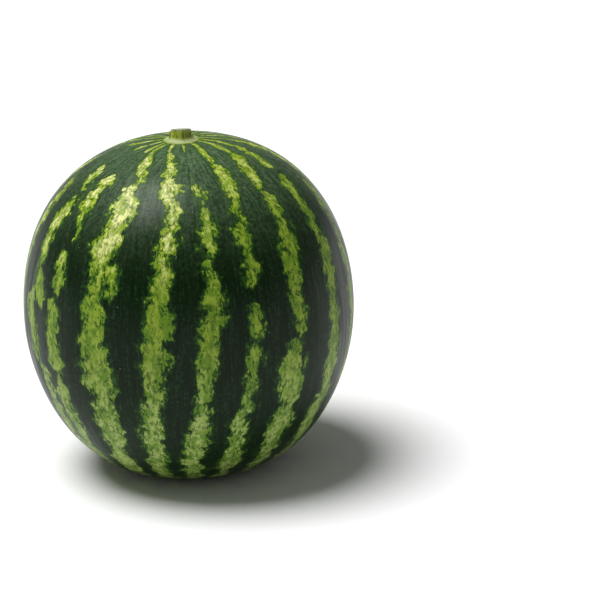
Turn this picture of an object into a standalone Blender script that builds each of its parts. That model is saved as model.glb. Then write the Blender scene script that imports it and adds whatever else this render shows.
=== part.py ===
"""A whole round watermelon that stands on its blossom end, with the cut stub of its stem on top.

Metres, +Z up. The origin is the centre of the flat spot that the fruit rests on.
The fruit is one turned solid. The stem stub is a second one, whose foot sits in a shallow seat in the crown.
"""

import math

import bmesh
import bpy
from mathutils import Vector
from mathutils.geometry import interpolate_bezier

# Fruit: the widest level divides it into an upper arc and a lower arc.
FRUIT_RADIUS = 0.115
CROWN_HEIGHT = 0.120  # from the widest level up to the crown
BASE_DEPTH = 0.113  # from the widest level down to the resting spot
REST_RADIUS = 0.030  # outer edge of the flat resting spot
DIMPLE_RADIUS = 0.010  # blossom-end dimple, inside the resting spot
DIMPLE_DEPTH = 0.0018

# How full the two arcs are: each is a share of the way to the corner that its two tangents make.
UPPER_FLANK_FULLNESS = 0.56
CROWN_FULLNESS = 0.68
LOWER_FLANK_FULLNESS = 0.47
BASE_FULLNESS = 0.62

# Stem stub, measured up from the underside of its foot.
STEM_LENGTH = 0.0098
STEM_TOP_RADIUS = 0.0068
STEM_NECK_RADIUS = 0.0078
STEM_NECK_HEIGHT = 0.0048  # where the straight stub turns into the flared foot
FOOT_RADIUS = 0.01275
FOOT_EDGE_HEIGHT = 0.0013  # thickness of the foot at its outer edge
CUT_HOLLOW = 0.0006  # how far the dried middle of the cut has sunk
CUT_EDGE = 0.0009  # width of the firm ring round the cut
CUT_SLANT = math.radians(12)  # the cut falls away towards +Y
STEM_RIBS = 5
RIB_HEIGHT = 0.00035

# How the stem sits in the crown.
SEAT_DEPTH = 0.0012  # below the skin at the edge of the seat
SEAT_CLEARANCE = 0.0003  # round the foot and under it

FRUIT_STEPS = 64  # turns of the Screw modifier; a multiple of 4 keeps the full width on both axes
STEPS_PER_RIB = 10
ARC_POINTS = 21
FLARE_POINTS = 7
DIMPLE_POINTS = 4
MERGE_DISTANCE = 0.00001
SHARPEST_SMOOTH = math.radians(45)  # corners over this, such as the rim of the cut, stay crisp


def clear_scene():
    for obj in list(bpy.data.objects):
        bpy.data.objects.remove(obj)


def make_collection(name):
    collection = bpy.data.collections.new(name)
    bpy.context.scene.collection.children.link(collection)
    return collection


def make_material(name, color, roughness):
    material = bpy.data.materials.new(name)
    material.use_nodes = True
    surface = material.node_tree.nodes["Principled BSDF"]
    surface.inputs["Base Color"].default_value = (*color, 1)
    surface.inputs["Roughness"].default_value = roughness
    surface.inputs["Metallic"].default_value = 0
    return material


def arc(start, start_handle, end_handle, end, count):
    """Points of one Bezier arc as (radius, height) pairs, both ends included."""
    corners = [Vector((*corner, 0)) for corner in (start, start_handle, end_handle, end)]
    return [(point.x, point.y) for point in interpolate_bezier(*corners, count)]


def cut_at_radius(points, radius):
    """The part of an outward-running outline beyond this radius, starting exactly on it."""
    beyond = next(i for i, point in enumerate(points) if point[0] > radius)
    (inner_radius, inner_height), (outer_radius, outer_height) = points[beyond - 1 : beyond + 1]
    share = (radius - inner_radius) / (outer_radius - inner_radius)
    return [(radius, inner_height + share * (outer_height - inner_height)), *points[beyond:]]


def upper_arc():
    """From the crown out and down to the widest level."""
    crown = BASE_DEPTH + CROWN_HEIGHT
    flank = BASE_DEPTH + UPPER_FLANK_FULLNESS * CROWN_HEIGHT
    return arc(
        (0, crown),
        (CROWN_FULLNESS * FRUIT_RADIUS, crown),
        (FRUIT_RADIUS, flank),
        (FRUIT_RADIUS, BASE_DEPTH),
        ARC_POINTS,
    )


def lower_arc():
    """From the widest level down and in to the edge of the resting spot."""
    flank = BASE_DEPTH - LOWER_FLANK_FULLNESS * BASE_DEPTH
    spread = REST_RADIUS + BASE_FULLNESS * (FRUIT_RADIUS - REST_RADIUS)
    return arc(
        (FRUIT_RADIUS, BASE_DEPTH),
        (FRUIT_RADIUS, flank),
        (spread, 0),
        (REST_RADIUS, 0),
        ARC_POINTS,
    )


def dimple_arc():
    """From the edge of the blossom-end dimple in to its middle, level at both ends."""
    turn = DIMPLE_RADIUS / 2
    return arc(
        (DIMPLE_RADIUS, 0),
        (DIMPLE_RADIUS - turn, 0),
        (turn, DIMPLE_DEPTH),
        (0, DIMPLE_DEPTH),
        DIMPLE_POINTS,
    )


def fruit_profile():
    """The fruit's outline, from the middle of the stem's seat down its outside to the middle of its base."""
    skin = cut_at_radius(upper_arc(), FOOT_RADIUS + SEAT_CLEARANCE)
    seat_edge, skin_height = skin[0]
    seat_floor = skin_height - SEAT_DEPTH
    seat = [(0, seat_floor), (seat_edge, seat_floor)]
    return seat + skin + lower_arc()[1:] + dimple_arc()


def stem_profile():
    """The stub's outline, from the middle of the cut down its outside to the middle of its underside."""
    cut = [(0, STEM_LENGTH - CUT_HOLLOW), (STEM_TOP_RADIUS - CUT_EDGE, STEM_LENGTH - CUT_HOLLOW / 2)]
    flare = arc(
        (STEM_NECK_RADIUS, STEM_NECK_HEIGHT),
        (STEM_NECK_RADIUS, (STEM_NECK_HEIGHT + FOOT_EDGE_HEIGHT) / 2),
        ((STEM_NECK_RADIUS + FOOT_RADIUS) / 2, FOOT_EDGE_HEIGHT),
        (FOOT_RADIUS, FOOT_EDGE_HEIGHT),
        FLARE_POINTS,
    )
    return cut + [(STEM_TOP_RADIUS, STEM_LENGTH)] + flare + [(FOOT_RADIUS, 0), (0, 0)]


def turned(name, profile, steps, material, collection):
    """An object that turns the profile all the way round Z."""
    mesh = bpy.data.meshes.new(name)
    outline = bmesh.new()
    corners = [outline.verts.new((radius, 0, height)) for radius, height in profile]
    for first, second in zip(corners, corners[1:]):
        outline.edges.new((first, second))
    outline.to_mesh(mesh)
    outline.free()
    mesh.materials.append(material)
    obj = bpy.data.objects.new(name, mesh)
    collection.objects.link(obj)
    screw = obj.modifiers.new("turn", "SCREW")
    screw.steps = steps
    screw.render_steps = steps
    screw.use_merge_vertices = True
    screw.merge_threshold = MERGE_DISTANCE
    screw.use_smooth_shade = True
    return obj


def shape_stub(mesh):
    """Raises the ribs and slants the cut; both fade out towards the foot's edge, which stays round."""
    straight = STEM_LENGTH - FOOT_EDGE_HEIGHT
    for vertex in mesh.vertices:
        x, y, z = vertex.co
        share = max(0, (z - FOOT_EDGE_HEIGHT) / straight)
        radius = math.hypot(x, y)
        if radius > STEM_TOP_RADIUS - CUT_EDGE / 2:
            rib = RIB_HEIGHT * math.cos(STEM_RIBS * math.atan2(y, x)) * min(1, 3 * share)
            x, y = x * (1 + rib / radius), y * (1 + rib / radius)
        z -= (y + STEM_TOP_RADIUS) * math.tan(CUT_SLANT) * share**2
        vertex.co = (x, y, z)


def make_fruit(collection):
    rind = make_material("rind", (0.030, 0.075, 0.022), 0.35)
    return turned("fruit", fruit_profile(), FRUIT_STEPS, rind, collection)


def make_stem_stub(collection):
    green = make_material("stem", (0.300, 0.350, 0.090), 0.6)
    stub = turned("stem_stub", stem_profile(), STEM_RIBS * STEPS_PER_RIB, green, collection)
    graph = bpy.context.evaluated_depsgraph_get()
    mesh = bpy.data.meshes.new_from_object(stub.evaluated_get(graph))
    stub.modifiers.clear()
    stub.data = mesh
    shape_stub(mesh)
    mesh.set_sharp_from_angle(angle=SHARPEST_SMOOTH)
    seat_floor = fruit_profile()[0][1]
    stub.location.z = seat_floor + SEAT_CLEARANCE
    return stub


def main():
    clear_scene()
    watermelon = make_collection("watermelon")
    make_fruit(watermelon)
    make_stem_stub(watermelon)


main()
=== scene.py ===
import math

import bpy
import numpy as np
from mathutils import Matrix, Vector


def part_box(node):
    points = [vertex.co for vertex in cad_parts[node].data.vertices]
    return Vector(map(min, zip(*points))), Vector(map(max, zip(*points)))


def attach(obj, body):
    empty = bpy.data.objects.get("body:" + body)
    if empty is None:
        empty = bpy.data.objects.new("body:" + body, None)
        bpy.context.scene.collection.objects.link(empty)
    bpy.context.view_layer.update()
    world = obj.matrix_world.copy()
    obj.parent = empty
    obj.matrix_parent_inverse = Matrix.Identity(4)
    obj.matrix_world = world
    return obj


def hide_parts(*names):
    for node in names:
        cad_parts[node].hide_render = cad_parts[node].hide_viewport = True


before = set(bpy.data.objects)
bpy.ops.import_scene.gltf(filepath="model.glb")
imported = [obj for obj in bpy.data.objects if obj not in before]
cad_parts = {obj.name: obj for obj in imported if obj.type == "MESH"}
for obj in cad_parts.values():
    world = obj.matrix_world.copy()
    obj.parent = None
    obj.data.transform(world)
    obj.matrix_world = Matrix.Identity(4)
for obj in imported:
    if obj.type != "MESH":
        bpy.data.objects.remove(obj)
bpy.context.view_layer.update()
print("frame loaded")

mm = 0.001


# A point of a cubic Bezier arc is the mean of its four corners,
# weighted by (1-u)^3, 3 u (1-u)^2, 3 u^2 (1-u) and u^3.
def bezierArc(start, startHandle, endHandle, end, count):
    u = np.linspace(0, 1, count)[:, None]
    corners = np.array([start, startHandle, endHandle, end], float)
    weights = np.hstack([(1 - u) ** 3, 3 * u * (1 - u) ** 2, 3 * u**2 * (1 - u), u**3])
    return weights @ corners


# The same outline with its points spread evenly along it, each point's share of the way, and the length.
def spreadEvenly(outline, count):
    steps = np.linalg.norm(np.diff(outline, axis=0), axis=1)
    along = np.concatenate([[0], np.cumsum(steps)])
    share = np.linspace(0, 1, count)
    radius = np.interp(share * along[-1], along, outline[:, 0])
    height = np.interp(share * along[-1], along, outline[:, 1])
    return np.stack([radius, height], axis=1), share, along[-1]


# 0 below low, 1 above high, and 3x^2 - 2x^3 between them.
def fade(value, low, high):
    x = np.clip((value - low) / (high - low), 0, 1)
    return x * x * (3 - 2 * x)


# Joins rings of points into a closed skin. rings is (rings, around, 3), top and bottom are the two poles,
# and each attribute has a value for the top, one for every ring point and one for the bottom.
def closedSkin(name, rings, top, bottom, attributes):
    ringCount, around = rings.shape[:2]
    points = np.concatenate([[top], rings.reshape(-1, 3), [bottom]])
    here = np.arange(around)
    nextOne = (here + 1) % around
    first = 1 + np.arange(ringCount - 1)[:, None] * around
    below = first + around
    quads = np.stack([first + here, below + here, below + nextOne, first + nextOne], axis=-1)
    topFan = np.stack([np.zeros(around, int), 1 + here, 1 + nextOne], axis=-1)
    lastRing = 1 + (ringCount - 1) * around
    bottomFan = np.stack([np.full(around, len(points) - 1), lastRing + nextOne, lastRing + here], axis=-1)
    corners = np.concatenate([topFan.ravel(), quads.ravel(), bottomFan.ravel()])
    sizes = np.concatenate([np.full(around, 3), np.full(len(quads.reshape(-1, 4)), 4), np.full(around, 3)])

    mesh = bpy.data.meshes.new(name)
    mesh.vertices.add(len(points))
    mesh.vertices.foreach_set("co", points.astype(np.float32).ravel())
    mesh.loops.add(len(corners))
    mesh.loops.foreach_set("vertex_index", corners.astype(np.int32))
    mesh.polygons.add(len(sizes))
    mesh.polygons.foreach_set("loop_start", (np.cumsum(sizes) - sizes).astype(np.int32))
    mesh.update(calc_edges=True)
    mesh.validate()
    mesh.shade_smooth()
    for label, (topValue, values, bottomValue) in attributes.items():
        kind = "FLOAT" if values.ndim == 2 else "FLOAT_VECTOR"
        flat = np.concatenate([np.ravel(topValue), values.ravel(), np.ravel(bottomValue)])
        layer = mesh.attributes.new(label, kind, "POINT")
        layer.data.foreach_set("value" if kind == "FLOAT" else "vector", flat.astype(np.float32))
    piece = bpy.data.objects.new(name, mesh)
    bpy.context.scene.collection.objects.link(piece)
    return piece


fruitLow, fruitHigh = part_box("fruit")
fruit = {
    "radius": (fruitHigh[0] - fruitLow[0]) / 2,
    "height": fruitHigh[2] - fruitLow[2],
    "widestAt": 0.4862,        # share of the height
    "crownAbove": 0.5163,      # from the widest level to the crown, before the stem's seat
    "crownFullness": 0.68,     # how far each arc's ends run on towards the corner that they make
    "upperFlank": 0.56,
    "lowerFlank": 0.47,
    "baseFullness": 0.62,
    "restRadius": 30 * mm,
    "dimpleRadius": 10 * mm,
    "dimpleDepth": 1.8 * mm,
    "seatRadius": 12.6 * mm,   # the skin dips under the stem's foot inside this
    "seatDepth": 1.1 * mm,
    "arcPoints": 400,
    "rings": 229,
    "around": 432,
    "unevenness": 0.35 * mm,   # slow swells that keep the skin from looking turned
}


# The outline runs from the crown out, down the flank and in under the base: an upper arc, a lower arc,
# a level rest and an S-shaped dimple.
def fruitOutline():
    radius = fruit["radius"]
    widest = fruit["widestAt"] * fruit["height"]
    crown = widest + fruit["crownAbove"] * fruit["height"]
    rest = fruit["restRadius"]
    points = fruit["arcPoints"]
    shoulder = fruit["crownFullness"] * radius
    flank = widest + fruit["upperFlank"] * (crown - widest)
    upper = bezierArc((0, crown), (shoulder, crown), (radius, flank), (radius, widest), points)
    flank = (1 - fruit["lowerFlank"]) * widest
    spread = rest + fruit["baseFullness"] * (radius - rest)
    lower = bezierArc((radius, widest), (radius, flank), (spread, 0), (rest, 0), points)
    dimple = fruit["dimpleRadius"]
    deep = fruit["dimpleDepth"]
    scar = bezierArc((dimple, 0), (0.5 * dimple, 0), (0.5 * dimple, deep), (0, deep), points // 10)
    return np.concatenate([upper, lower[1:], scar])


# Every pale stripe is a line of (share of the way from crown to base, degrees round, width in degrees).
# 0 degrees is the front; the width shrinks to nothing where a stripe breaks.
frontStripes = [
    [(0.035, -101, 9), (0.07, -100, 7), (0.12, -98, 1), (0.22, -90, 2), (0.26, -87, 5), (0.33, -87, 6),
     (0.48, -86, 7), (0.66, -82, 8), (0.84, -82, 9), (0.95, -82, 6)],
    [(0.035, -80, 10), (0.08, -78, 7), (0.11, -77, 1), (0.155, -75, 1), (0.18, -73.5, 8),
     (0.21, -71, 7), (0.225, -69, 4), (0.235, -69, 0), (0.25, -69, 2), (0.275, -69.5, 9),
     (0.32, -70, 6), (0.36, -69, 8), (0.385, -69, 3), (0.40, -66.5, 7), (0.43, -64.5, 8),
     (0.45, -63, 5), (0.47, -62, 0)],
    [(0.43, -70, 0), (0.45, -71, 8), (0.50, -69, 9), (0.55, -67.5, 8), (0.565, -66, 3), (0.58, -62, 7),
     (0.68, -60.5, 9), (0.76, -60, 9), (0.86, -62, 11), (0.95, -62, 7)],
    [(0.035, -62, 10), (0.07, -60, 6), (0.10, -57, 1), (0.17, -55, 1), (0.19, -55.5, 7),
     (0.22, -56.5, 8), (0.25, -56.5, 9), (0.275, -54, 4), (0.31, -51, 2), (0.335, -55, 0),
     (0.35, -55, 6), (0.38, -55, 6), (0.41, -54.5, 7), (0.425, -53, 3), (0.435, -57, 3),
     (0.45, -55.5, 8), (0.50, -54.5, 7), (0.55, -53, 9), (0.58, -52, 4), (0.60, -52, 6),
     (0.65, -51.5, 9), (0.72, -50.5, 8), (0.84, -50, 9), (0.95, -50, 6)],
    [(0.035, -50, 9), (0.08, -47, 6), (0.12, -40, 9), (0.15, -36, 8), (0.165, -32.5, 5),
     (0.175, -32, 3), (0.185, -35, 3), (0.21, -35, 9), (0.24, -34, 12), (0.30, -34.5, 12),
     (0.34, -36.5, 9), (0.36, -36, 6), (0.43, -36, 7), (0.45, -36, 9), (0.50, -34.5, 11),
     (0.58, -33, 12), (0.60, -32, 8), (0.65, -32.5, 11), (0.70, -31.5, 12), (0.735, -32, 8),
     (0.75, -33, 14), (0.86, -32, 13), (0.95, -32, 7)],
    [(0.33, -29.5, 0), (0.35, -29, 4), (0.39, -29.5, 4), (0.42, -30, 0)],
    [(0.035, -29, 8), (0.07, -24, 5), (0.09, -18, 8), (0.13, -13, 8), (0.18, -11.5, 9), (0.24, -9, 8),
     (0.30, -9, 8), (0.33, -10, 6), (0.40, -11, 9), (0.50, -12.5, 10), (0.57, -13, 8), (0.65, -14, 9),
     (0.76, -15, 9), (0.86, -15, 12), (0.95, -15, 7)],
    [(0.035, 0, 5), (0.06, 0, 3), (0.09, 0, 0), (0.165, 4.5, 0), (0.185, 5, 3.5), (0.205, 6, 3),
     (0.225, 6.5, 0), (0.235, 7.5, 3), (0.27, 7, 6), (0.31, 6.5, 4), (0.335, 6, 3), (0.38, 7.5, 6.5),
     (0.43, 8, 7), (0.48, 6, 8), (0.56, 5, 7), (0.59, 4.5, 4), (0.62, 4, 8), (0.70, 2, 9),
     (0.84, 1, 12), (0.95, 1, 7)],
    [(0.035, 29, 9), (0.065, 26, 9), (0.11, 23.5, 6), (0.15, 25, 8), (0.20, 24, 6), (0.24, 22, 5),
     (0.34, 23, 5.5), (0.37, 22, 5), (0.385, 21.5, 0), (0.40, 22.5, 0), (0.42, 22.5, 4),
     (0.48, 22.5, 5), (0.56, 21.5, 4), (0.60, 20.5, 4), (0.62, 19, 6), (0.70, 18.5, 8), (0.84, 18, 11),
     (0.95, 18, 7)],
    [(0.035, 60, 9), (0.08, 55, 7), (0.10, 52, 9), (0.125, 49, 11), (0.17, 44, 8), (0.205, 41.5, 2),
     (0.22, 43, 4), (0.25, 42.5, 5), (0.265, 42.5, 3), (0.28, 43.5, 6), (0.34, 40.5, 8), (0.40, 39, 7),
     (0.44, 40, 7), (0.48, 40.5, 3), (0.49, 38, 5), (0.52, 37, 10), (0.60, 38, 10), (0.70, 36.5, 10),
     (0.84, 36, 12), (0.95, 36, 7)],
    [(0.035, 80, 9), (0.09, 74, 6), (0.12, 70, 7), (0.155, 66.5, 7), (0.175, 66, 1), (0.19, 65, 1),
     (0.21, 63.5, 8), (0.25, 62, 7), (0.28, 61, 5), (0.32, 61, 7), (0.39, 60.5, 7), (0.42, 59.5, 6),
     (0.54, 60.5, 8), (0.565, 58, 9), (0.60, 59, 8), (0.66, 56, 11), (0.84, 55, 12), (0.95, 55, 7)],
    [(0.035, 97, 6), (0.055, 95, 3), (0.08, 92, 0), (0.20, 83, 0), (0.22, 82, 3), (0.27, 81, 4),
     (0.30, 79.5, 6), (0.42, 78.5, 7), (0.55, 78, 7), (0.70, 76, 10), (0.84, 74, 11), (0.95, 74, 7)],
]

stripes = {
    "backFrom": 96,            # degrees; the unseen side is drawn by the same habit
    "backTo": 256,
    "backCount": 10,
    "backLevels": [0.035, 0.10, 0.16, 0.22, 0.28, 0.34, 0.40, 0.46, 0.52, 0.60, 0.70, 0.84, 0.95],
    "widthLevels": [0.04, 0.10, 0.16, 0.30, 0.60, 0.84, 0.95],
    "backWidths": [4, 6, 7, 8, 9.5, 12, 7.5],     # degrees, at the width levels
    "blockLength": 6.0 * mm,   # the edges step in and out over about this length
    "edgeStep": 0.22,          # of half the width
    "sway": 0.8 * mm,
    "twist": 10,               # degrees a stripe turns on its way from crown to base
    "straightAt": 0.50,        # share of the way down where the twist is nothing
    "rise": 0.012,             # the pattern sits this share higher on the left side and lower on the right
    "breakHalf": 2.0 * mm,     # a stripe whose half width is under this starts to break up
    "breakLeast": 0.3 * mm,    # the same, at the stem and the base
    "breakDrop": 3 * mm,       # how far outside the stripe the middle of a break counts
    "closeBy": 12 * mm,        # radius inside which the stripes lie close together
    "openFrom": 75 * mm,       # radius from which they are fully open
    "farthest": 20,            # mm; points farther outside a stripe than this are all alike
    "seed": 7,
}


# Each unseen stripe wanders by one degree or so from level to level, and is pinched in two places.
def backStripes(draw):
    spacing = (stripes["backTo"] - stripes["backFrom"]) / (stripes["backCount"] - 1)
    lines = []
    for number in range(stripes["backCount"]):
        centre = stripes["backFrom"] + number * spacing + draw.uniform(-2, 2)
        downs = np.array(stripes["backLevels"])
        degrees = centre + np.cumsum(draw.normal(0, 1.0, len(downs)))
        widths = np.interp(downs, stripes["widthLevels"], stripes["backWidths"])
        widths = widths * draw.uniform(0.75, 1.2, len(downs))
        pinch = draw.choice(len(downs) - 4, 2, replace=False) + 1
        widths[pinch] *= draw.uniform(0, 0.5, 2)
        lines.append(list(zip(downs, degrees, widths)))
    return lines


# 0 near the stem and the base, where the stripes lie close together, and 1 out on the flank.
def openness(radius):
    return fade(radius, stripes["closeBy"], stripes["openFrom"])


# How far a point lies inside the nearest pale stripe, in millimetres; negative outside every stripe.
# Each edge lies half the stripe's width from its centre line, and steps in and out at random on the way down.
def stripeDepth(down, angle, radius, length):
    draw = np.random.default_rng(stripes["seed"])
    knots = np.arange(0, 1, stripes["blockLength"] / length)
    breakHalf = stripes["breakHalf"] * openness(radius) + stripes["breakLeast"]
    depth = np.full((len(down), len(angle)), -float(stripes["farthest"]))
    for line in frontStripes + backStripes(draw):
        share, degrees, width = np.array(line, float).T
        level = down - stripes["rise"] * math.sin(np.radians(degrees.mean()))
        twist = stripes["twist"] * (stripes["straightAt"] - down)
        centre = np.radians(np.interp(level, share, degrees) + twist)
        half = np.radians(np.interp(level, share, width)) * radius / 2
        jag = [np.interp(down, knots, steps) for steps in draw.uniform(-1, 1, (3, len(knots)))]
        sway = jag[0] * stripes["sway"] * fade(radius, 0, 0.5 * fruit["radius"])
        away = (angle[None, :] - centre[:, None] + math.pi) % (2 * math.pi) - math.pi
        away = away * radius[:, None] - sway[:, None]
        left = half * (1 + stripes["edgeStep"] * jag[1])
        right = half * (1 + stripes["edgeStep"] * jag[2])
        inside = np.minimum(away + left[:, None], right[:, None] - away)
        # a break in the stripe counts as outside even on its centre line
        inside = inside - (stripes["breakDrop"] * (1 - fade(half, 0, breakHalf)))[:, None]
        depth = np.maximum(depth, inside / mm)
    return depth


# Each ring of points is the outline's radius plus slow swells, carried round the upright axis.
def makeFruit():
    wholeOutline = fruitOutline()
    outline, down, length = spreadEvenly(wholeOutline, fruit["rings"] + 2)
    angle = np.linspace(0, 2 * math.pi, fruit["around"], endpoint=False)
    radius, height = outline[1:-1].T
    down = down[1:-1]
    inSeat = (1 - fade(radius, 0.80 * fruit["seatRadius"], fruit["seatRadius"])) * (down < 0.5)
    height = height - fruit["seatDepth"] * inSeat
    # three slow waves of different pitch, none of them near the stem or the rest
    calm = fade(radius, 0.2 * fruit["radius"], 0.6 * fruit["radius"])
    swell = (
        0.5 * np.sin(3 * angle[None, :] + 5 * down[:, None])
        + 0.3 * np.sin(7 * angle[None, :] - 9 * down[:, None] + 1.3)
        + 0.2 * np.sin(20 * angle[None, :] + 2 * np.sin(11 * down[:, None]))
    )
    spread = radius[:, None] + fruit["unevenness"] * calm[:, None] * (swell - 1)
    # 0 degrees faces the front, -Y; degrees grow towards +X
    rings = np.stack([
        spread * np.sin(angle)[None, :],
        -spread * np.cos(angle)[None, :],
        np.broadcast_to(height[:, None], spread.shape),
    ], axis=-1)
    wrap = np.stack([
        np.broadcast_to(np.sin(angle)[None, :], spread.shape),
        np.broadcast_to(np.cos(angle)[None, :], spread.shape),
        np.broadcast_to(down[:, None], spread.shape),
    ], axis=-1)
    downs = np.broadcast_to(down[:, None], spread.shape)
    wide = np.broadcast_to(openness(radius)[:, None], spread.shape)
    depth = stripeDepth(down, angle, radius, length)
    top = (0, 0, wholeOutline[0, 1] - fruit["seatDepth"])
    bottom = (0, 0, fruit["dimpleDepth"])
    return closedSkin("rindSkin", rings, top, bottom, {
        "stripe": (-5, depth, -5),
        "down": (0, downs, 1),
        "wide": (0, wide, 0),
        "wrap": ((0, 0, 0), wrap, (0, 0, 1)),
    })


# A material's node tree, built from left to right.
class Recipe:
    def __init__(self, name):
        self.material = bpy.data.materials.new(name)
        self.material.use_nodes = True
        self.tree = self.material.node_tree
        self.surface = self.tree.nodes["Principled BSDF"]
        self.place = self.node("ShaderNodeTexCoord").outputs["Object"]

    def node(self, kind, **settings):
        made = self.tree.nodes.new(kind)
        for key, value in settings.items():
            setattr(made, key, value)
        return made

    def put(self, socket, value):
        if isinstance(value, bpy.types.NodeSocket):
            self.tree.links.new(value, socket)
        else:
            socket.default_value = value

    def attribute(self, name, output="Fac"):
        return self.node("ShaderNodeAttribute", attribute_name=name).outputs[output]

    def noise(self, where, scale, detail=3, roughness=0.5, distortion=0.0):
        made = self.node("ShaderNodeTexNoise")
        self.put(made.inputs["Vector"], where)
        made.inputs["Scale"].default_value = scale
        made.inputs["Detail"].default_value = detail
        made.inputs["Roughness"].default_value = roughness
        made.inputs["Distortion"].default_value = distortion
        return made.outputs["Fac"]

    def math(self, operation, first, second=0.0, third=0.0):
        made = self.node("ShaderNodeMath", operation=operation)
        for socket, value in zip(made.inputs, (first, second, third)):
            self.put(socket, value)
        return made.outputs[0]

    def ramp(self, value, low, high, to=(0.0, 1.0), smooth=True):
        made = self.node("ShaderNodeMapRange", interpolation_type="SMOOTHSTEP" if smooth else "LINEAR")
        names = ("Value", "From Min", "From Max", "To Min", "To Max")
        for key, given in zip(names, (value, low, high, *to)):
            self.put(made.inputs[key], given)
        return made.outputs["Result"]

    def stretch(self, vector, scale, shift=(0, 0, 0)):
        made = self.node("ShaderNodeMapping")
        self.put(made.inputs["Vector"], vector)
        made.inputs["Scale"].default_value = scale
        made.inputs["Location"].default_value = shift
        return made.outputs["Vector"]

    def mix(self, share, first, second):
        made = self.node("ShaderNodeMix", data_type="RGBA", blend_type="MIX")
        self.put(made.inputs["Factor"], share)
        colours = [socket for socket in made.inputs if socket.type == "RGBA"]
        for socket, value in zip(colours, (first, second)):
            self.put(socket, value if isinstance(value, bpy.types.NodeSocket) else (*value, 1))
        return [socket for socket in made.outputs if socket.type == "RGBA"][0]

    def bump(self, height, distance, normal=None):
        made = self.node("ShaderNodeBump")
        self.put(made.inputs["Height"], height)
        made.inputs["Distance"].default_value = distance
        made.inputs["Strength"].default_value = 1.0
        if normal is not None:
            self.put(made.inputs["Normal"], normal)
        return made.outputs["Normal"]


rind = {
    "darkGreen": (0.0024, 0.0108, 0.0018),
    "darkLift": (0.014, 0.045, 0.012),      # paler flecks in the dark bands
    "crownDark": (0.030, 0.066, 0.026),
    "crownLight": (0.120, 0.190, 0.090),
    "fringe": (0.030, 0.095, 0.012),        # the mid green that edges a stripe
    "limeEdge": (0.100, 0.210, 0.014),
    "limeDeep": (0.150, 0.260, 0.010),      # mottling inside a stripe
    "lime": (0.255, 0.355, 0.036),
    "limeTop": (0.40, 0.53, 0.018),         # near the crown, and lower down on the front-left side, where it is partly the rind's own colour and partly painted light from the key light
    "limeTopDeep": (0.22, 0.34, 0.012),     # smudges near the crown
    "limeLow": (0.36, 0.46, 0.135),
    "cream": (0.84, 0.85, 0.36),
    "vein": (0.022, 0.070, 0.010),
    "speck": (0.45, 0.50, 0.38),
    "scar": (0.150, 0.095, 0.040),          # the corky spot in the blossom-end dimple
    "scarPale": (0.34, 0.25, 0.13),
    "tintAndLightSide": (-0.80, 0.60, 0),            # sine and cosine of the degrees round of the front-left side, where the key light falls; the pale stripes there are painted lighter, partly their own colour and partly painted light
    "paleShift": (0.4, -0.8),               # mm, near the crown and lower down; below 0 is narrower
    "lumpReach": 15.0,                      # mm that the coarse and the fine noise move an edge
    "fleckReach": 15.0,
    "lumpScale": 95,                        # noise scales are in waves a metre
    "fleckScale": 250,
    "grainScale": 170,
    "mottleScale": 430,
    "smudgeScale": 140,
    "cellScale": 420,
    "poreScale": 1100,
    "speckScale": 170,                      # cells a metre
    "drawnOut": (1, 1, 0.6),                # flecks and smudges are longer upwards than across
    "fibreRelief": 0.12 * mm,
    "poreRelief": 0.06 * mm,
    "stripeRelief": -0.06 * mm,             # the pale stripes lie a hair lower
    "roughness": 0.34,
    "waxIor": 1.22,
}


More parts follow.
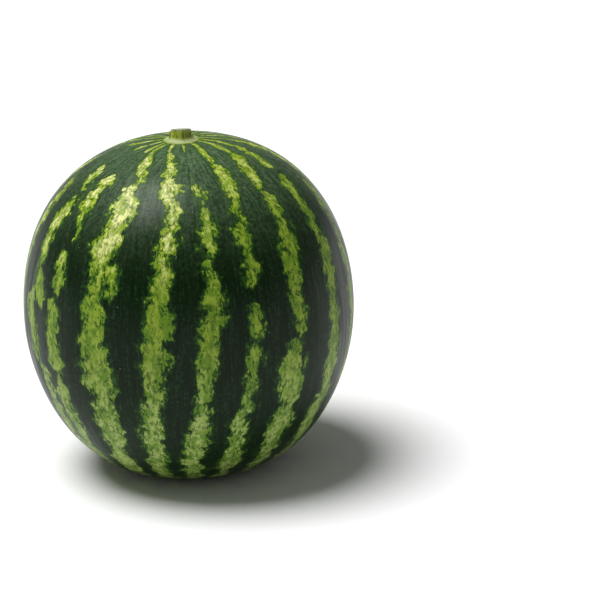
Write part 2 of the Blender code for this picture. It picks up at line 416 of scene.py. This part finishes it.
def makeRind():
    r = Recipe("stripedRind")
    stripe = r.attribute("stripe")
    down = r.attribute("down")
    wide = r.attribute("wide")
    wrap = r.attribute("wrap", "Vector")

    # ragged edge: coarse lumps, then flecks; both calm down where the stripes close up at stem and base
    lumps = r.noise(r.place, rind["lumpScale"], 2, 0.5)
    drawnOut = r.stretch(r.place, rind["drawnOut"])
    flecks = r.noise(drawnOut, rind["fleckScale"], 3, 0.6)
    shift = r.ramp(down, 0.20, 0.40, rind["paleShift"])
    edge = r.math("MULTIPLY_ADD", r.math("SUBTRACT", lumps, 0.5), rind["lumpReach"], shift)
    edge = r.math("MULTIPLY_ADD", r.math("SUBTRACT", flecks, 0.5), rind["fleckReach"], edge)
    edge = r.math("MULTIPLY_ADD", edge, r.ramp(wide, 0.0, 1.0, (0.10, 1.0), False), stripe)
    pale = r.ramp(edge, -0.5, 0.6)
    fringe = r.ramp(edge, -4.0, 0.2)

    # pale stripe: mid green at its edge, lime inside, creamy near the crown, duller towards the base, and
    # lighter and creamier on the front-left upper side, partly its own colour and partly painted light from
    # the key light
    # painted light: the front-left side that faces the key light is painted lighter, on top of the rind's own
    # colour
    tintAndLight = r.node("ShaderNodeVectorMath", operation="DOT_PRODUCT")
    r.put(tintAndLight.inputs[0], wrap)
    r.put(tintAndLight.inputs[1], rind["tintAndLightSide"])
    tintAndLight = r.ramp(tintAndLight.outputs["Value"], 0.25, 0.85)
    tintAndLightUpper = r.math("MULTIPLY", tintAndLight, r.ramp(down, 0.40, 0.26))
    topShare = r.math("MAXIMUM", tintAndLightUpper, r.ramp(down, 0.30, 0.10))
    grain = r.noise(r.place, rind["grainScale"], 4, 0.65)
    heart = r.math("ADD", edge, r.ramp(down, 0.30, 0.14, (0.0, 1.6)))
    heart = r.math("ADD", heart, r.ramp(down, 0.12, 0.05, (0.0, 1.8)))
    heart = r.math("MULTIPLY_ADD", r.math("SUBTRACT", grain, 0.5), 14.0, heart)
    lime = r.mix(topShare, rind["lime"], rind["limeTop"])
    lime = r.mix(r.ramp(down, 0.44, 0.66), lime, rind["limeLow"])
    lime = r.mix(r.ramp(heart, -0.5, 3.0), rind["limeEdge"], lime)
    # the cream on the front-left upper side is partly a painted highlight from the key light and partly the
    # rind's own cream
    creamShare = r.math("MAXIMUM", tintAndLightUpper, r.ramp(down, 0.30, 0.14, (0.0, 0.40)))
    lime = r.mix(r.math("MULTIPLY", creamShare, r.ramp(heart, 1.5, 6.0)), lime, rind["cream"])
    mottle = r.noise(drawnOut, rind["mottleScale"], 3, 0.6)
    lime = r.mix(r.ramp(mottle, 0.44, 0.62, (0.0, 0.60)), lime, rind["limeDeep"])
    smudges = r.noise(drawnOut, rind["smudgeScale"], 4, 0.65)
    smudge = r.mix(topShare, rind["limeEdge"], rind["limeTopDeep"])
    lime = r.mix(r.ramp(smudges, 0.47, 0.58, (0.0, 0.80)), lime, smudge)
    dashes = r.noise(r.stretch(wrap, (50, 50, 95)), 1.0, 3, 0.6, 0.6)
    dashShare = r.math("MULTIPLY", r.ramp(dashes, 0.515, 0.575), r.ramp(heart, 9.0, 0.0, (0.40, 1.0)))
    lime = r.mix(dashShare, lime, rind["vein"])

    # dark band: near black green with fibres that run from stem to base
    fibres = r.noise(r.stretch(wrap, (75, 75, 12)), 1.0, 4, 0.65)
    cells = r.noise(r.place, rind["cellScale"], 4, 0.75)
    lift = r.math("MULTIPLY", r.ramp(fibres, 0.40, 0.68), r.ramp(cells, 0.42, 0.62))
    dark = r.mix(lift, rind["darkGreen"], rind["darkLift"])
    threads = r.noise(r.stretch(wrap, (34, 34, 26), (1, 4, 0)), 1.0, 4, 0.7)
    weave = r.math("MULTIPLY_ADD", threads, 0.5, r.math("MULTIPLY", cells, 0.5))
    crown = r.mix(r.ramp(weave, 0.42, 0.60), rind["crownDark"], rind["crownLight"])
    dark = r.mix(r.ramp(down, 0.38, 0.05), dark, crown)
    fuzz = r.math("MULTIPLY", fringe, r.ramp(cells, 0.40, 0.58, (0.15, 0.95)))
    dark = r.mix(fuzz, dark, rind["fringe"])
    colour = r.mix(pale, dark, lime)

    # scattered dust specks
    dots = r.node("ShaderNodeTexVoronoi", feature="F1")
    r.put(dots.inputs["Vector"], r.place)
    dots.inputs["Scale"].default_value = rind["speckScale"]
    chosen = r.node("ShaderNodeSeparateColor")
    r.put(chosen.inputs[0], dots.outputs["Color"])
    few = r.ramp(chosen.outputs[0], 0.80, 0.86)
    speck = r.math("MULTIPLY", r.ramp(dots.outputs["Distance"], 0.075, 0.04), few)
    colour = r.mix(r.math("MULTIPLY", speck, 0.5), colour, rind["speck"])

    # corky blossom scar in the dimple, with a ragged rim
    scarEdge = r.math("MULTIPLY_ADD", r.math("SUBTRACT", cells, 0.5), 0.020, down)
    cork = r.mix(r.ramp(cells, 0.40, 0.60), rind["scar"], rind["scarPale"])
    colour = r.mix(r.ramp(scarEdge, 0.984, 0.989), colour, cork)
    r.put(r.surface.inputs["Base Color"], colour)

    # wax bloom: gloss varies in soft streaks
    bloom = r.noise(r.stretch(wrap, (14, 14, 5), (3, 1, 0)), 1.0, 4, 0.6)
    rough = r.ramp(bloom, 0.35, 0.70, (rind["roughness"] - 0.06, rind["roughness"] + 0.12))
    rough = r.math("MULTIPLY_ADD", pale, 0.05, rough)
    r.put(r.surface.inputs["Roughness"], rough)
    r.surface.inputs["IOR"].default_value = rind["waxIor"]

    # relief: fine fibres, pores and the step at a stripe
    normal = r.bump(fibres, rind["fibreRelief"])
    pores = r.noise(r.place, rind["poreScale"], 2, 0.6)
    normal = r.bump(pores, rind["poreRelief"], normal)
    normal = r.bump(pale, rind["stripeRelief"], normal)
    r.put(r.surface.inputs["Normal"], normal)
    return r.material


stemLow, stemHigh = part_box("stem_stub")
stem = {
    "skinLevel": fruitHigh[2],                # the skin at the edge of the foot
    "top": stemHigh[2],
    "topRadius": 6.8 * mm,
    "neckRadius": 7.6 * mm,
    "neckHeight": 3.8 * mm,                   # above the skin
    "footRadius": (stemHigh[0] - stemLow[0]) / 2,
    "cutHollow": 0.8 * mm,                    # how far the dried middle of the cut has sunk
    "footSunk": 0.8 * mm,                     # how far the foot reaches under the skin
    "slant": math.radians(12),                # the cut falls away towards +Y
    "ribs": 5,
    "ribHeight": 0.35 * mm,
    "lobeDepth": 0.35 * mm,                   # how far the foot's edge goes in and out
    "around": 240,
    "rings": 130,
}


# The outline runs from the middle of the cut over its rim, down the side, out along the flare
# and in below the skin.
def stemOutline():
    top = stem["top"] - stem["skinLevel"]
    rim = stem["topRadius"]
    neck = (stem["neckRadius"], stem["neckHeight"])
    foot = stem["footRadius"]
    hollow = top - stem["cutHollow"]
    inner = (rim - 0.6 * mm, top - 0.1 * mm)      # inner end of the rounded edge
    outer = (rim, top - 0.5 * mm)                 # outer end of it
    lipTop = (foot - 0.4 * mm, 0.30 * mm)
    lipEnd = (foot - 0.5 * mm, -0.7 * mm)
    sole = -stem["footSunk"]
    cut = bezierArc((0, hollow), (0.5 * rim, hollow), (0.8 * rim, top - 0.3 * mm), inner, 40)
    edge = bezierArc(inner, (rim - 0.3 * mm, top + 0.05 * mm), (rim, top), outer, 12)
    aboveNeck = (neck[0] - 0.1 * mm, neck[1] + 1 * mm)
    side = bezierArc(outer, (rim + 0.1 * mm, top - 1.5 * mm), aboveNeck, neck, 24)
    flare = bezierArc(neck, (neck[0] + 0.2 * mm, 0.50 * neck[1]), (0.76 * foot, 0.55 * mm), lipTop, 40)
    lip = bezierArc(lipTop, (foot, 0.25 * mm), (foot, -0.3 * mm), lipEnd, 16)
    under = bezierArc(lipEnd, (0.6 * foot, sole), (0.3 * foot, sole), (0, sole), 12)
    return np.concatenate([cut, edge[1:], side[1:], flare[1:], lip[1:], under[1:]])


# Each ring of points is the outline's radius plus ribs and lobes; then the cut slants towards the back.
def makeStem():
    outline, along = spreadEvenly(stemOutline(), stem["rings"] + 2)[:2]
    angle = np.linspace(0, 2 * math.pi, stem["around"], endpoint=False)
    radius, height = outline[1:-1].T
    along = along[1:-1]
    topHeight = stem["top"] - stem["skinLevel"]
    up = np.clip(height / topHeight, 0, 1)
    onCut = fade(-along, -0.26, -0.20)
    onSide = (1 - onCut) * fade(up, 0.02, 0.35)
    # ribs: a broad wave with a finer one on it; the foot's edge is lobed
    wave = np.cos(stem["ribs"] * angle) + 0.35 * np.sin(13 * angle + 0.6) + 0.22 * np.sin(29 * angle + 2)
    lobes = 0.5 * np.cos(9 * angle + 1) + 0.5 * np.sin(14 * angle)
    onRim = fade(radius, 0.5 * stem["topRadius"], 0.95 * stem["topRadius"])
    onFoot = fade(radius, 0.75 * stem["footRadius"], stem["footRadius"])
    ribs = (stem["ribHeight"] * onSide * onRim)[:, None] * wave
    spread = radius[:, None] + ribs + (stem["lobeDepth"] * onFoot)[:, None] * (lobes - 0.9)
    y = -spread * np.cos(angle)[None, :]
    lower = (y + stem["topRadius"]) * math.tan(stem["slant"]) * (up**2)[:, None]
    rings = np.stack([
        spread * np.sin(angle)[None, :],
        y,
        stem["skinLevel"] + height[:, None] - lower,
    ], axis=-1)
    wrap = np.stack([
        np.broadcast_to(np.sin(angle)[None, :], y.shape),
        np.broadcast_to(np.cos(angle)[None, :], y.shape),
        np.broadcast_to(up[:, None], y.shape),
    ], axis=-1)
    ones = np.ones_like(y)
    top = (0, 0, stem["skinLevel"] + outline[0, 1] - stem["topRadius"] * math.tan(stem["slant"]))
    bottom = (0, 0, stem["skinLevel"] + outline[-1, 1])
    return closedSkin("cutStem", rings, top, bottom, {
        "up": (1, up[:, None] * ones, 0),
        "cut": (1, onCut[:, None] * ones, 0),
        "wrap": ((0, 0, 1), wrap, (0, 0, 0)),
    })


stalk = {
    "olive": (0.120, 0.175, 0.006),
    "oliveLight": (0.40, 0.47, 0.035),
    "footPale": (0.38, 0.45, 0.19),
    "footRim": (0.26, 0.34, 0.055),
    "dryCut": (0.42, 0.46, 0.36),
    "dryRim": (0.18, 0.24, 0.07),
    "scab": (0.16, 0.10, 0.035),
    "roughness": 0.55,
    "scabScale": 900,
    "ringScale": 700,
    "streakRelief": 0.25 * mm,
    "ringRelief": 0.15 * mm,
}


def makeStalk():
    r = Recipe("greenStalk")
    up = r.attribute("up")
    cut = r.attribute("cut")
    wrap = r.attribute("wrap", "Vector")
    streaks = r.noise(r.stretch(wrap, (6, 6, 0.8)), 1.0, 3, 0.6)
    colour = r.mix(r.ramp(streaks, 0.44, 0.62), stalk["olive"], stalk["oliveLight"])
    collar = r.math("MULTIPLY", r.ramp(up, 0.60, 0.80), r.ramp(up, 0.97, 0.92))
    colour = r.mix(r.math("MULTIPLY", collar, 0.45), colour, stalk["oliveLight"])
    foot = r.math("MULTIPLY", r.ramp(up, 0.36, 0.14), r.ramp(streaks, 0.25, 0.50, (0.75, 1.0)))
    colour = r.mix(foot, colour, stalk["footPale"])
    colour = r.mix(r.ramp(up, 0.075, 0.035), colour, stalk["footRim"])
    scabs = r.noise(r.place, stalk["scabScale"], 3, 0.6)
    colour = r.mix(r.ramp(scabs, 0.62, 0.72, (0.0, 0.6)), colour, stalk["scab"])
    rings = r.noise(r.place, stalk["ringScale"], 4, 0.7)
    face = r.mix(r.ramp(rings, 0.35, 0.65), stalk["dryRim"], stalk["dryCut"])
    colour = r.mix(cut, colour, face)
    r.put(r.surface.inputs["Base Color"], colour)
    rough = r.ramp(streaks, 0.3, 0.7, (stalk["roughness"] - 0.08, stalk["roughness"] + 0.12))
    r.put(r.surface.inputs["Roughness"], rough)
    normal = r.bump(streaks, stalk["streakRelief"])
    normal = r.bump(rings, stalk["ringRelief"], normal)
    r.put(r.surface.inputs["Normal"], normal)
    return r.material


fruitPiece = makeFruit()
fruitPiece.data.materials.append(makeRind())
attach(fruitPiece, "root")
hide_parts("fruit")
print("rind skin made")

stemPiece = makeStem()
stemPiece.data.materials.append(makeStalk())
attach(stemPiece, "root")
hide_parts("stem_stub")
print("stem stub made")


studio = {
    "floorSize": 30.0,
    "floorColour": (0.97, 0.97, 0.97),
    "floorRoughness": 0.9,
    "sunStrength": 3.5,
    "sunAngle": math.radians(36),             # how wide the softbox looks from the fruit
    "sunFrom": (-0.33, 0.05, 0.94),           # the way to it
    "surround": 0.16,                         # strength of the even white light from all round
    "camera": {"lens": 206.8, "distance": 2.4, "tilt": math.radians(18.67), "orbitHeight": 0.103,
               "lookAt": (0.0775, 0, 0.1129), "roll": math.radians(-2)},
}


def makeFloor():
    half = studio["floorSize"] / 2
    mesh = bpy.data.meshes.new("floor")
    corners = [(-half, -half, 0), (half, -half, 0), (half, half, 0), (-half, half, 0)]
    mesh.from_pydata(corners, [], [(0, 1, 2, 3)])
    floor = bpy.data.objects.new("floor", mesh)
    bpy.context.scene.collection.objects.link(floor)
    paint = Recipe("paleFloor")
    paint.surface.inputs["Base Color"].default_value = (*studio["floorColour"], 1)
    paint.surface.inputs["Roughness"].default_value = studio["floorRoughness"]
    paint.surface.inputs["Specular IOR Level"].default_value = 0.0
    mesh.materials.append(paint.material)


def makeLights():
    sun = bpy.data.lights.new("softbox", "SUN")
    sun.energy = studio["sunStrength"]
    sun.angle = studio["sunAngle"]
    lamp = bpy.data.objects.new("softbox", sun)
    lamp.rotation_euler = Vector(studio["sunFrom"]).to_track_quat("Z", "Y").to_euler()
    bpy.context.scene.collection.objects.link(lamp)
    world = bpy.data.worlds.new("surround")
    world.use_nodes = True
    world.node_tree.nodes["Background"].inputs["Strength"].default_value = studio["surround"]
    world.node_tree.nodes["Background"].inputs["Color"].default_value = (1, 1, 1, 1)
    bpy.context.scene.world = world


def makeCamera():
    view = studio["camera"]
    lens = bpy.data.cameras.new("camera")
    lens.lens = view["lens"]
    camera = bpy.data.objects.new("camera", lens)
    tilt = view["tilt"]
    place = Vector((0, -math.cos(tilt), math.sin(tilt))) * view["distance"]
    place.z += view["orbitHeight"]
    camera.location = place
    facing = (Vector(view["lookAt"]) - place).to_track_quat("-Z", "Y").to_matrix()
    camera.rotation_euler = (facing @ Matrix.Rotation(view["roll"], 3, "Z")).to_euler()
    bpy.context.scene.collection.objects.link(camera)
    bpy.context.scene.camera = camera


makeFloor()
makeLights()
makeCamera()
bpy.context.scene.view_settings.view_transform = "Standard"
print("studio ready")
